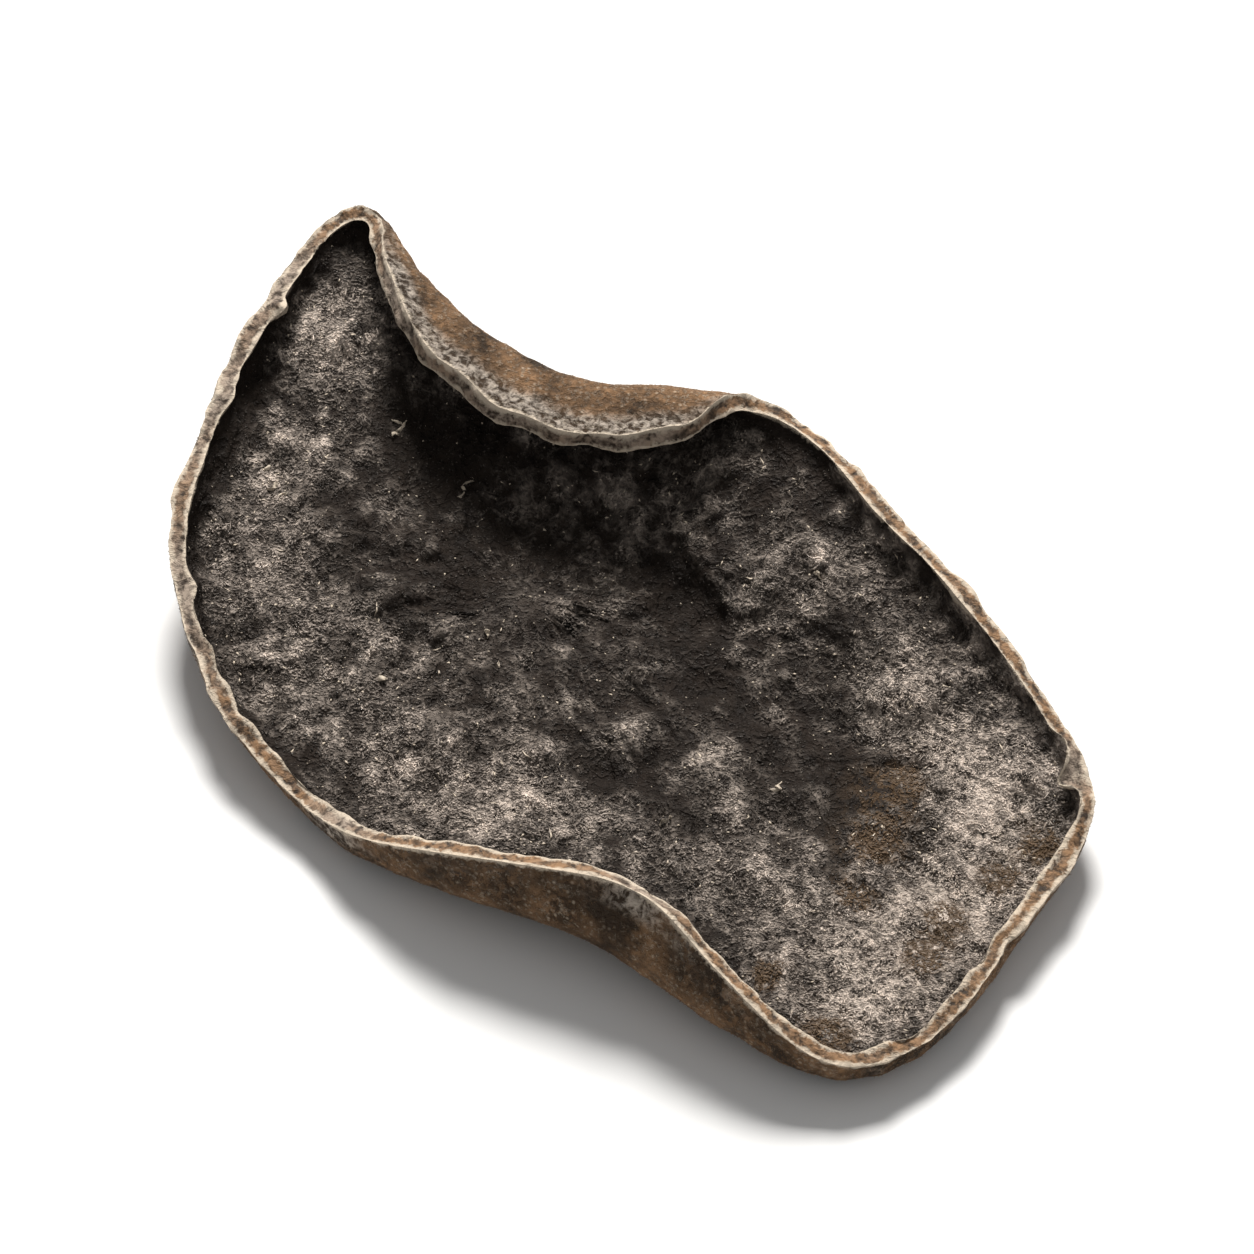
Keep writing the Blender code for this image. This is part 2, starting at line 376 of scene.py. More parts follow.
class WoodEarFinish(bpy.types.PropertyGroup):
    dark: colour_setting("Dark flesh", "The inner face between its frost", (0.013, 0.0092, 0.0068))
    frost: colour_setting("Frost", "The pale felt on the inner face", (0.70, 0.590, 0.500))
    tan: colour_setting("Tan nap", "The velvety outer face", (0.280, 0.163, 0.086))
    umber: colour_setting(
        "Umber",
        "The dark patches of the outer face and of the lip",
        (0.036, 0.023, 0.014),
    )
    rust: colour_setting("Rust", "The brown stains of the inner face", (0.115, 0.07, 0.036))
    ash: colour_setting("Ash", "The grey of the lip and of the flesh next to it", (0.40, 0.345, 0.29))
    # Straw colours the pale dry edges, which also stand in for painted highlight along the lip, and the
    # flecks, specks and stalk cut
    straw: colour_setting("Straw", "The pale dry edges of the lip", (0.64, 0.54, 0.42))


class WoodEarStage(bpy.types.PropertyGroup):
    elevation: bpy.props.FloatProperty(
        name="Camera elevation",
        description="How far the camera looks down on the ear",
        default=math.radians(47),
        subtype="ANGLE",
        unit="ROTATION",
    )
    width: length_setting("View width", "Width of the picture at the ear", 0.064)
    floor: colour_setting("Floor", "Colour of the plain floor", (0.86, 0.855, 0.845))


# Small tools for node trees

def add_node(tree, kind, inputs=None, **settings):
    node = tree.nodes.new(kind)
    for name, value in settings.items():
        setattr(node, name, value)
    for name, value in (inputs or {}).items():
        if isinstance(value, bpy.types.NodeSocket):
            tree.links.new(value, node.inputs[name])
        else:
            node.inputs[name].default_value = value
    return node


def calculate(tree, operation, a, b=0.0, clamp=False):
    node = add_node(tree, "ShaderNodeMath", {0: a, 1: b}, operation=operation, use_clamp=clamp)
    return node.outputs[0]


def times(tree, a, b, clamp=False):
    return calculate(tree, "MULTIPLY", a, b, clamp)


def plus(tree, a, b, clamp=False):
    return calculate(tree, "ADD", a, b, clamp)


def remap(tree, value, low, high, to_low=0.0, to_high=1.0):
    """The value's share of the way from low to high, held between to_low and to_high."""
    inputs = {"Value": value, "From Min": low, "From Max": high, "To Min": to_low, "To Max": to_high}
    return add_node(tree, "ShaderNodeMapRange", inputs, clamp=True).outputs["Result"]


def blend_colours(tree, share, first, second):
    node = add_node(tree, "ShaderNodeMix", {0: share}, data_type="RGBA")
    for socket, colour in ((node.inputs[6], first), (node.inputs[7], second)):
        if isinstance(colour, bpy.types.NodeSocket):
            tree.links.new(colour, socket)
        else:
            socket.default_value = (*colour[:3], 1.0)
    return node.outputs[2]


def noise(tree, vector, size, detail=2.0, roughness=0.5, distortion=0.0):
    """Noise whose lumps are about the given size in metres."""
    if isinstance(size, bpy.types.NodeSocket):
        scale = calculate(tree, "DIVIDE", 1.0, size)
    else:
        scale = 1.0 / size
    inputs = {
        "Vector": vector,
        "Scale": scale,
        "Detail": detail,
        "Roughness": roughness,
        "Distortion": distortion,
    }
    return add_node(tree, "ShaderNodeTexNoise", inputs)


def new_group(name, output, **inputs):
    """A shader group with one output, which reads a place and some numbers, each with its default."""
    tree = bpy.data.node_groups.new(name, "ShaderNodeTree")
    tree.interface.new_socket("Vector", in_out="INPUT", socket_type="NodeSocketVector")
    for label, default in inputs.items():
        socket = tree.interface.new_socket(label, in_out="INPUT", socket_type="NodeSocketFloat")
        socket.default_value = default
    tree.interface.new_socket(output, in_out="OUTPUT", socket_type="NodeSocketFloat")
    start = tree.nodes.new("NodeGroupInput")
    end = tree.nodes.new("NodeGroupOutput")
    return tree, start.outputs, end.inputs[0]


def effect(tree, name, place, **inputs):
    """What one of the groups below gives at a place, with its own values in each material."""
    group = bpy.data.node_groups[name]
    return add_node(tree, "ShaderNodeGroup", {"Vector": place, **inputs}, node_tree=group).outputs[0]


# Effects that the materials share

def felt_group():
    """Short crooked fibres matted together, as a mask."""
    group, given, result = new_group("Felt", "Mask", Fibre=0.0005, Cover=0.5)
    fibre = given["Fibre"]
    bend = noise(group, given["Vector"], fibre, detail=1.0)
    centred = add_node(group, "ShaderNodeVectorMath", {0: bend.outputs["Color"], 1: (0.5, 0.5, 0.5)},
                       operation="SUBTRACT")
    shifted = add_node(group, "ShaderNodeVectorMath", {0: centred.outputs[0], "Scale": fibre},
                       operation="SCALE")
    bent = add_node(group, "ShaderNodeVectorMath", {0: given["Vector"], 1: shifted.outputs[0]},
                    operation="ADD").outputs[0]
    strand = noise(group, bent, times(group, fibre, 0.5), detail=2.0, roughness=0.6)
    away = calculate(group, "ABSOLUTE", calculate(group, "SUBTRACT", strand.outputs["Fac"], 0.5))
    width = times(group, given["Cover"], 0.13)
    ridge = remap(group, away, width, times(group, width, 0.35))
    gaps = noise(group, given["Vector"], times(group, fibre, 0.8), detail=1.0)
    least = calculate(group, "SUBTRACT", 0.62, times(group, given["Cover"], 0.22))
    broken = remap(group, gaps.outputs["Fac"], least, plus(group, least, 0.08))
    group.links.new(times(group, ridge, broken), result)
    return group


def mottle_group():
    """Soft patches with finer patches inside them, from 0 to 1."""
    group, given, result = new_group("Mottle", "Value", Patch=0.002, Contrast=1.0)
    patches = noise(group, given["Vector"], given["Patch"], detail=5.0, roughness=0.6, distortion=0.4)
    centred = calculate(group, "SUBTRACT", patches.outputs["Fac"], 0.5)
    spread = times(group, times(group, centred, 3.0), given["Contrast"])
    group.links.new(plus(group, spread, 0.5, clamp=True), result)
    return group


def worm_group():
    """Short worm-like wrinkles with pits between them, from 0 in a pit to 1 on a wrinkle."""
    group, given, result = new_group("Worms", "Value", Size=0.0007)
    winding = noise(group, given["Vector"], given["Size"], detail=1.0, distortion=0.5).outputs["Fac"]
    away = calculate(group, "ABSOLUTE", calculate(group, "SUBTRACT", winding, 0.5))
    fine = noise(group, given["Vector"], times(group, given["Size"], 0.45), detail=2.0)
    ridge = remap(group, away, 0.11, 0.01)
    speckle = remap(group, fine.outputs["Fac"], 0.3, 0.7, -0.25, 0.25)
    group.links.new(plus(group, ridge, speckle, clamp=True), result)
    return group


def fleck_group():
    """Scattered bright specks, as a mask."""
    group, given, result = new_group("Flecks", "Mask", Spacing=0.0004, Share=0.3)
    scale = calculate(group, "DIVIDE", 1.0, given["Spacing"])
    cells = add_node(group, "ShaderNodeTexVoronoi", {"Vector": given["Vector"], "Scale": scale})
    parts = add_node(group, "ShaderNodeSeparateColor", {0: cells.outputs["Color"]})
    chosen = calculate(group, "LESS_THAN", parts.outputs[0], given["Share"])
    speck = remap(group, cells.outputs["Distance"], 0.42, 0.18)
    group.links.new(times(group, chosen, speck), result)
    return group


def dry_edge_and_highlight_group():
    """A frayed line along the edge of the lip, as a mask that fades with distance from it; the pale line it
    gives is partly the dry edge and partly painted highlight.
    """
    group, given, result = new_group("Dry edge and highlight", "Mask", Distance=0.0, Width=0.0003)
    fray = noise(group, given["Vector"], 0.0006, detail=4.0, roughness=0.7)
    wander = remap(group, fray.outputs["Fac"], 0.32, 0.68, 0.05, 1.9)
    width = times(group, given["Width"], wander)
    near = calculate(group, "DIVIDE", given["Distance"], width)
    group.links.new(remap(group, near, 1.0, 0.35), result)
    return group


def blank_material(name):
    material = bpy.data.materials.new(name)
    material.use_nodes = True
    tree = material.node_tree
    shader = tree.nodes["Principled BSDF"]
    place = add_node(tree, "ShaderNodeTexCoord").outputs["Object"]
    return material, tree, shader, place


def attribute(tree, name):
    return add_node(tree, "ShaderNodeAttribute", attribute_name=name).outputs["Fac"]


def set_surface(tree, shader, colour, roughness, specular=0.5):
    tree.links.new(colour, shader.inputs["Base Color"])
    tree.links.new(roughness, shader.inputs["Roughness"])
    shader.inputs["Specular IOR Level"].default_value = specular


def raise_bump(tree, shader, height, distance):
    bump = add_node(tree, "ShaderNodeBump", {"Height": height, "Distance": distance})
    tree.links.new(bump.outputs["Normal"], shader.inputs["Normal"])


def inner_material(finish):
    """Near-black leathery flesh under a grey frost of matted fibres."""
    material, tree, shader, place = blank_material("Inner face")
    edge = attribute(tree, "edge_distance")
    # The frost attribute is partly painted light and shade as well as frost
    cover = attribute(tree, "frost")
    stain = attribute(tree, "stain")
    relief = attribute(tree, "relief")
    patch = effect(tree, "Mottle", place, Patch=0.0011, Contrast=1.2)
    grain = effect(tree, "Mottle", place, Patch=0.00022, Contrast=1.3)
    long_felt = effect(tree, "Felt", place, Fibre=0.00080, Cover=0.8)
    short_felt = effect(tree, "Felt", place, Fibre=0.00040, Cover=0.9)
    felt = calculate(tree, "MAXIMUM", long_felt, times(tree, short_felt, 0.8))
    flecks = effect(tree, "Flecks", place, Spacing=0.00040, Share=0.10)
    worms = effect(tree, "Worms", place, Size=WORM_SIZE)
    texture = plus(tree, times(tree, felt, 0.6), times(tree, grain, 0.3))
    texture = times(tree, plus(tree, texture, 0.2), plus(tree, worms, 0.4))
    # Paler on raised relief and darker in its hollows: painted highlight and painted shade
    texture = plus(tree, texture, remap(tree, relief, 0.2, 0.8, -0.15, 1.15))
    texture = plus(tree, texture, times(tree, flecks, 1.2))
    thick = times(tree, calculate(tree, "POWER", cover, 1.3), 0.95)
    frost = times(tree, thick, texture, clamp=True)
    brown = blend_colours(tree, patch, finish.dark, [c * 1.8 for c in finish.dark])
    colour = blend_colours(tree, frost, brown, finish.frost)
    holes = effect(tree, "Mottle", place, Patch=0.0007, Contrast=1.6)
    ragged = times(tree, stain, remap(tree, holes, 0.3, 0.6))
    colour = blend_colours(tree, times(tree, ragged, 0.8), colour, finish.rust)
    # Pale line at the lip: partly dry edge, partly painted highlight
    line = effect(tree, "Dry edge and highlight", place, Distance=edge, Width=0.00020)
    colour = blend_colours(tree, times(tree, line, 0.8), colour, finish.straw)
    set_surface(tree, shader, colour, remap(tree, patch, 0.0, 1.0, 0.50, 0.78), 0.11)
    height = plus(tree, times(tree, felt, 0.4), times(tree, grain, 0.5))
    raise_bump(tree, shader, plus(tree, height, worms), 0.00012)
    return material


def outer_material(finish):
    """Tan velvety nap with umber patches."""
    material, tree, shader, place = blank_material("Outer face")
    edge = attribute(tree, "edge_distance")
    broad = effect(tree, "Mottle", place, Patch=0.0034, Contrast=1.0)
    patch = effect(tree, "Mottle", place, Patch=0.00045, Contrast=1.4)
    felt = effect(tree, "Felt", place, Fibre=0.00040)
    flecks = effect(tree, "Flecks", place, Spacing=0.00030, Share=0.30)
    relief = remap(tree, attribute(tree, "relief"), 0.3, 0.8)
    shade = plus(tree, times(tree, broad, 0.55), times(tree, patch, 0.25))
    # The relief term makes raised puckers paler: painted highlight, with painted shade in their hollows
    shade = plus(tree, shade, times(tree, relief, 0.3))
    colour = blend_colours(tree, remap(tree, shade, 0.25, 0.90), finish.umber, finish.tan)
    ragged = times(tree, attribute(tree, "stain"), remap(tree, patch, 0.25, 0.6))
    colour = blend_colours(tree, times(tree, ragged, 0.9), colour, finish.umber)
    ashy = blend_colours(tree, remap(tree, patch, 0.2, 0.8), finish.umber, finish.ash)
    colour = blend_colours(tree, attribute(tree, "ashen"), colour, ashy)
    specks = calculate(tree, "MAXIMUM", felt, flecks)
    pale = times(tree, specks, remap(tree, shade, 0.2, 0.7, 0.05, 0.35))
    colour = blend_colours(tree, pale, colour, finish.straw)
    # Pale line at the lip: partly dry edge, partly painted highlight
    line = effect(tree, "Dry edge and highlight", place, Distance=edge, Width=0.00018)
    colour = blend_colours(tree, times(tree, line, 0.8), colour, finish.straw)
    set_surface(tree, shader, colour, remap(tree, patch, 0.0, 1.0, 0.80, 0.95), 0.15)
    height = plus(tree, times(tree, felt, 0.5), patch)
    raise_bump(tree, shader, height, 0.00012)
    return material


def lip_material(finish):
    """Brown edge of the sheet, between two pale lines that are partly dry edges and partly painted highlight.
    """
    material, tree, shader, place = blank_material("Lip")
    edge = attribute(tree, "edge_distance")
    patch = effect(tree, "Mottle", place, Patch=0.00070, Contrast=1.2)
    grain = effect(tree, "Mottle", place, Patch=0.00025, Contrast=1.2)
    pits = effect(tree, "Flecks", place, Spacing=0.00070, Share=0.45)
    pale = blend_colours(tree, attribute(tree, "grey"), finish.tan, finish.ash)
    shade = plus(tree, times(tree, patch, 0.6), times(tree, grain, 0.4))
    colour = blend_colours(tree, remap(tree, shade, 0.15, 0.70), finish.umber, pale)
    colour = blend_colours(tree, times(tree, pits, 0.65), colour, finish.umber)
    # Pale lines at the lip's edges: partly dry edge, partly painted highlight
    line = effect(tree, "Dry edge and highlight", place, Distance=edge, Width=0.00026)
    colour = blend_colours(tree, times(tree, line, 0.85), colour, finish.straw)
    set_surface(tree, shader, colour, remap(tree, patch, 0.0, 1.0, 0.70, 0.92), 0.3)
    raise_bump(tree, shader, patch, 0.00012)
    return material


def cut_material(finish):
    """Paler, coarser flesh where the stalk was cut."""
    material, tree, shader, place = blank_material("Stalk cut")
    patch = effect(tree, "Mottle", place, Patch=0.0009, Contrast=1.4)
    felt = effect(tree, "Felt", place, Fibre=0.00050)
    colour = blend_colours(tree, patch, finish.tan, finish.straw)
    colour = blend_colours(tree, times(tree, felt, 0.6), colour, finish.umber)
    set_surface(tree, shader, colour, remap(tree, patch, 0.0, 1.0, 0.75, 0.92))
    raise_bump(tree, shader, plus(tree, patch, felt), 0.00012)
    return material


def fibre_material(name, finish, cover, low, dark, colour, stained, pale):
    """Matt dry fibres, paler where the cover is thick and on wrinkles, and some paler than the rest. They are
    also paler on raised relief and darker in its hollows: painted highlight and painted shade.
    """
    material, tree, shader, place = blank_material(name)
    tint = attribute(tree, "tint")
    amount = attribute(tree, cover)
    patch = noise(tree, place, 0.0012, detail=3.0).outputs["Fac"]
    bright_few = times(tree, calculate(tree, "POWER", tint, 2.0), 0.7)
    shade = plus(tree, bright_few, remap(tree, patch, 0.3, 0.7, 0.22, 0.95))
    worms = effect(tree, "Worms", place, Size=WORM_SIZE)
    pit = remap(tree, amount, 0.45, 0.85, 0.45, 0.9)
    shade = times(tree, shade, remap(tree, worms, 0.0, 1.0, pit, 1.4))
    # Painted highlight on raised relief and painted shade in its hollows
    shade = times(tree, shade, remap(tree, attribute(tree, "relief"), 0.2, 0.8, 0.65, 1.25))
    depth = times(tree, calculate(tree, "POWER", amount, 1.3), 1.25)
    thick = times(tree, depth, shade)
    chalky = remap(tree, thick, 0.7, 1.5, 0.0, 0.8)
    thick = calculate(tree, "MAXIMUM", thick, times(tree, shade, low), clamp=True)
    thick = calculate(tree, "MAXIMUM", thick, remap(tree, amount, 0.5, 1.0, 0.0, 0.62))
    fibre = blend_colours(tree, thick, dark, colour)
    fibre = blend_colours(tree, chalky, fibre, [min(1.3 * part, 1.0) for part in colour])
    ashy = blend_colours(tree, remap(tree, shade, 0.1, 1.1, 0.2, 0.75), dark, finish.ash)
    fibre = blend_colours(tree, attribute(tree, "ashen"), fibre, ashy)
    holes = noise(tree, place, 0.0007, detail=4.0).outputs["Fac"]
    spots = remap(tree, times(tree, attribute(tree, "stain"), holes), 0.17, 0.27, 0.0, 0.95)
    fibre = blend_colours(tree, spots, fibre, stained)
    fleck = remap(tree, tint, 0.975, 0.98, 0.0, 0.9)
    fibre = blend_colours(tree, fleck, fibre, pale)
    set_surface(tree, shader, fibre, remap(tree, patch, 0.3, 0.7, 0.55, 0.85), 0.3)
    raise_bump(tree, shader, patch, 0.00002)
    return material


# Shaping the flesh

def pick_only(item):
    bpy.ops.object.select_all(action="DESELECT")
    item.select_set(True)
    bpy.context.view_layer.objects.active = item


def copy_of_node():
    """A clean copy of the model's solid: one skin of four-sided faces."""
    node = frame["nodes"][NODE]
    flesh = bpy.data.objects.new("ear_flesh", node.data.copy())
    bpy.context.scene.collection.objects.link(flesh)
    flesh.data.materials.clear()
    pick_only(flesh)
    bpy.ops.object.mode_set(mode="EDIT")
    bpy.ops.mesh.select_all(action="SELECT")
    bpy.ops.mesh.remove_doubles(threshold=0.000005)
    bpy.ops.mesh.tris_convert_to_quads(face_threshold=math.radians(60), shape_threshold=math.radians(60))
    bpy.ops.mesh.customdata_custom_splitnormals_clear()
    bpy.ops.object.mode_set(mode="OBJECT")
    return flesh


def sort_faces(flesh):
    """Give each face its slot: what is joined to the cup's middle, to the stalk, or neither."""
    mesh = flesh.data
    bpy.ops.object.mode_set(mode="EDIT")
    bpy.ops.mesh.select_mode(type="EDGE")
    bpy.ops.mesh.select_all(action="DESELECT")
    bpy.ops.mesh.edges_select_sharp(sharpness=SHARP_ANGLE)
    bpy.ops.mesh.mark_sharp()
    bpy.ops.mesh.select_mode(type="FACE")
    bpy.ops.object.mode_set(mode="OBJECT")
    centres = np.array([face.center[:] for face in mesh.polygons])
    normals = np.array([face.normal[:] for face in mesh.polygons])
    floor_level = centres[:, 2].min()
    stalk = centres[centres[:, 2] < floor_level + 0.02 * MM].mean(axis=0)
    from_stalk = np.hypot(*(centres - stalk)[:, :2].T)
    above = np.where(normals[:, 2] > 0.8, from_stalk, 1.0).argmin()
    below = np.where((normals[:, 2] < -0.8) & (from_stalk > 6 * MM), from_stalk, 1.0).argmin()
    slots = np.full(len(mesh.polygons), LIP)
    for start, slot in ((above, INNER), (below, OUTER)):
        bpy.ops.object.mode_set(mode="EDIT")
        bpy.ops.mesh.select_all(action="DESELECT")
        bpy.ops.object.mode_set(mode="OBJECT")
        mesh.polygons[start].select = True
        bpy.ops.object.mode_set(mode="EDIT")
        bpy.ops.mesh.select_linked(delimit={"SHARP"})
        bpy.ops.object.mode_set(mode="OBJECT")
        chosen = np.array([face.select for face in mesh.polygons])
        slots[chosen] = slot
    slots[(normals[:, 2] < -0.99) & (centres[:, 2] < floor_level + 0.02 * MM)] = CUT
    mesh.polygons.foreach_set("material_index", slots.astype(np.int32))
    return slots


def border_edges(mesh, slots):
    """Numbers of the edges between faces of different slots."""
    sides = {}
    for face, slot in zip(mesh.polygons, slots):
        for key in face.edge_keys:
            sides.setdefault(key, set()).add(int(slot))
    return [edge.index for edge in mesh.edges if len(sides[edge.key]) > 1]


def crease_lip(flesh, slots, amount):
    mesh = flesh.data
    crease = mesh.attributes.new("crease_edge", "FLOAT", "EDGE")
    for number in border_edges(mesh, slots):
        crease.data[number].value = amount


def divide(flesh, levels):
    pick_only(flesh)
    finer = flesh.modifiers.new("Finer", "SUBSURF")
    finer.levels = levels
    finer.render_levels = levels
    bpy.ops.object.modifier_apply(modifier=finer.name)


def points_of(mesh):
    places = np.empty(len(mesh.vertices) * 3)
    mesh.vertices.foreach_get("co", places)
    return places.reshape(-1, 3)


def normals_of(mesh):
    normals = np.empty(len(mesh.vertices) * 3)
    mesh.vertices.foreach_get("normal", normals)
    return normals.reshape(-1, 3)


def move_points(mesh, places):
    mesh.vertices.foreach_set("co", places.ravel())
    mesh.update()


def soft(apart, radius):
    """1 in the middle of a soft round spot, fading to nothing around it."""
    return np.exp(-((apart / radius) ** 2))


def edge_ends(mesh):
    ends = np.empty(len(mesh.edges) * 2, dtype=np.int32)
    mesh.edges.foreach_get("vertices", ends)
    return ends.reshape(-1, 2)


def distance_over(mesh, starts):
    """Distance over the surface from every point to the nearest start."""
    places = points_of(mesh)
    ends = edge_ends(mesh)
    lengths = np.linalg.norm(places[ends[:, 0]] - places[ends[:, 1]], axis=1)
    joined = [[] for _ in places]
    for (a, b), length in zip(ends.tolist(), lengths.tolist()):
        joined[a].append((b, length))
        joined[b].append((a, length))
    distance = [math.inf] * len(places)
    queue = [(0.0, start) for start in starts]
    for _, start in queue:
        distance[start] = 0.0
    while queue:
        so_far, here = heapq.heappop(queue)
        if so_far > distance[here]:
            continue
        for there, length in joined[here]:
            if so_far + length < distance[there]:
                distance[there] = so_far + length
                heapq.heappush(queue, (so_far + length, there))
    return np.array(distance)


def split_lip(flesh, distance, reach, longest):
    """Halve and halve again the long edges that run along the margin, near the lip."""
    mesh = flesh.data
    places = points_of(mesh)
    first, second = edge_ends(mesh).T
    length = np.linalg.norm(places[first] - places[second], axis=1)
    near = np.maximum(distance[first], distance[second]) < reach
    level = np.abs(distance[first] - distance[second]) < 0.4 * length
    chosen = near & level & (length > longest)
    pick_only(flesh)
    bpy.ops.object.mode_set(mode="EDIT")
    bpy.ops.mesh.select_mode(type="EDGE")
    bpy.ops.mesh.select_all(action="DESELECT")
    bpy.ops.object.mode_set(mode="OBJECT")
    mesh.edges.foreach_set("select", chosen)
    bpy.ops.object.mode_set(mode="EDIT")
    bpy.ops.mesh.subdivide(number_cuts=2, smoothness=0.0, quadcorner="PATH")
    bpy.ops.object.mode_set(mode="OBJECT")


def lip_distance(mesh):
    """Distance over the surface from the two edges of the lip, at every point."""
    slots = np.empty(len(mesh.polygons), dtype=np.int32)
    mesh.polygons.foreach_get("material_index", slots)
    slots[slots == CUT] = OUTER
    borders = border_edges(mesh, slots)
    return distance_over(mesh, sorted({v for edge in borders for v in mesh.edges[edge].vertices}))


def points_on(mesh, slot):
    """1 for the points of the faces in a slot, and 0 for the others."""
    chosen = np.zeros(len(mesh.vertices))
    for face in mesh.polygons:
        if face.material_index == slot:
            chosen[list(face.vertices)] = 1.0
    return chosen


def patches(places, spots):
    """Sum of soft round patches, each with its x, y, radius and amount."""
    total = np.zeros(len(places))
    for x, y, radius, amount in spots:
        apart = np.hypot(places[:, 0] / MM - x, places[:, 1] / MM - y)
        total += amount * soft(apart, radius)
    return total


def veins(places, lines):
    """Sum of soft ridges along short lines, each with its two ends, width and amount."""
    total = np.zeros(len(places))
    spot = places[:, :2] / MM
    for x1, y1, x2, y2, width, amount in lines:
        start = np.array((x1, y1))
        run = np.array((x2, y2)) - start
        share = np.clip((spot - start) @ run / (run @ run), 0.0, 1.0)
        apart = np.linalg.norm(spot - start - share[:, None] * run, axis=1)
        total += amount * soft(apart, width) * (1.0 - 0.7 * np.abs(2 * share - 1))
    return total


def clumps(places, size, octaves):
    """Soft noise from about -1 to 1 at every place, with lumps of the given size."""
    return np.array([soft_noise.fractal(Vector(place) / size, 1.0, 2.0, octaves) for place in places])


def frost_and_light_cover(places, distance):
    """How thick the frost lies: in patches and clumps, worn off in the fold of the margin, and partly painted
    light and shade.
    """
    wider = patches(places, [WIDE_FOLD])
    # In the fold the frost is worn off and the crease darkened as painted shade, on the left and upper sides
    fold = soft(distance / MM - FOLD_PLACE - 0.35 * wider, FOLD_WIDTH + 0.45 * wider)
    folded_side = np.clip((places[:, 1] / MM - 0.9 * places[:, 0] / MM + 2.0) / 10.0, 0.0, 1.0)
    cover = FROST_BASE + patches(places, FROST_AND_LIGHT_PATCHES) - FOLD_WEAR_AND_SHADE * fold * folded_side
    # More frost on lumps and veins and less in dimples: painted highlight and painted shade
    cover += 0.5 * patches(places, LUMPS) + 0.9 * veins(strayed(places), VEINS)
    cover += 0.38 * clumps(places, 1.2 * MM, 3) + 0.16 * clumps(places, 4.0 * MM, 2)
    return np.clip(cover, 0.02, 1.0)


def mark_rim(mesh, marks):
    """Dent, raise and notch the rim in a few small places."""
    places = points_of(mesh)
    moved = places.copy()
    for place, radius, move in marks:
        apart = np.linalg.norm(places / MM - place, axis=1)
        moved += np.outer(soft(apart, radius), move) * MM
    move_points(mesh, moved)


def swell_beads(mesh, beads):
    """Swell small round beads out of the rim."""
    places = points_of(mesh)
    normals = normals_of(mesh)
    swollen = places.copy()
    for place, radius, height in beads:
        apart = np.linalg.norm(places / MM - place, axis=1)
        swollen += normals * (height * MM * soft(apart, radius))[:, None]
    move_points(mesh, swollen)


def strayed(places):
    """The places moved a little, so that what is drawn straight comes out crooked."""
    soft_noise.seed_set(STRAY_SEED)
    aside = np.array([soft_noise.noise_vector(Vector(place) / (1.1 * MM)) for place in places])
    return places + 0.45 * MM * aside


def raise_lumps(mesh, share):
    """Raise the single lumps and veins of the inner face, and sink its dimples."""
    places = points_of(mesh)
    heights = (patches(places, LUMPS) + veins(strayed(places), VEINS)) * share * MM
    raised = places + normals_of(mesh) * heights[:, None]
    move_points(mesh, raised)


def distance_from_hub(mesh):
    """Distance from the point of the inner face where the columns of faces run together."""
    places = points_of(mesh)
    joined = np.bincount(edge_ends(mesh).ravel(), minlength=len(places))
    hub = np.where(joined > 0.8 * joined.max(), places[:, 2], -1.0).argmax()
    return np.linalg.norm(places - places[hub], axis=1)


def write_attribute(mesh, name, values):
    layer = mesh.attributes.new(name, "FLOAT", "POINT")
    layer.data.foreach_set("value", np.asarray(values, dtype=np.float32))


def weight_group(flesh, name, weights):
    group = flesh.vertex_groups.new(name=name)
    for number in np.nonzero(weights > 0.001)[0].tolist():
        group.add([number], float(weights[number]), "REPLACE")
    return group.name


def displace(flesh, name, size, height, weights, direction="NORMAL", **settings):
    """Raise a piece where the weights say, by lumps of a size, or evenly where that is None."""
    modifier = flesh.modifiers.new(name, "DISPLACE")
    modifier.direction = direction
    modifier.strength = height
    modifier.mid_level = 0.0
    if size:
        texture = bpy.data.textures.new(name, "CLOUDS")
        texture.noise_scale = size
        for setting, value in settings.items():
            setattr(texture, setting, value)
        modifier.texture = texture
        modifier.texture_coords = "LOCAL"
        modifier.mid_level = 0.5
    modifier.vertex_group = weight_group(flesh, name, weights)
    pick_only(flesh)
    bpy.ops.object.modifier_apply(modifier=name)


def write_looks(mesh, distance, off_hub, inner, outer):
    """Write down at every point what the materials and the fibres read there."""
    places = points_of(mesh)
    height = places[:, 2] / MM
    # The frost amount carries painted light and shade besides the frost itself, and so do the slivers and
    # crumbs
    frost = HUB_FROST + (frost_and_light_cover(places, distance) - HUB_FROST) * off_hub
    inside_lip = np.clip((distance / MM - 0.35) / 0.6, 0.0, 1.0)
    next_to_lip = np.clip((1.4 - distance / MM) / 0.5, 0.0, 1.0)
    stain = patches(places, [(*spot, 1.0) for spot in STAINS])
    up_the_wall = np.clip((height - 2.6) / 1.4, 0.0, 1.0)
    blotch = patches(places, [(*spot, 1.2) for spot in BLOTCHES]) * up_the_wall
    grey = patches(places, [(*spot, 1.0) for spot in GREY_LIP]) + 0.25 * clumps(places, 0.9 * MM, 2)
    clear_of_floor = np.clip((height - 0.15) / 0.5, 0.0, 1.0)
    for name, values in (
        ("edge_distance", distance),
        ("frost", frost * inner),
        ("slivers", frost * inner * inside_lip),
        ("crumbs", (0.25 + 0.75 * frost) * inner * inside_lip),
        ("stain", np.clip(stain * inner + blotch * outer, 0.0, 1.0)),
        ("grey", np.clip(0.7 * grey, 0.0, 0.7)),
        ("ashen", np.clip(1.2 * grey, 0.0, 0.9) * outer * next_to_lip),
        ("nap", outer * clear_of_floor * np.clip(distance / (0.4 * MM), 0.0, 1.0)),
    ):
        write_attribute(mesh, name, values)


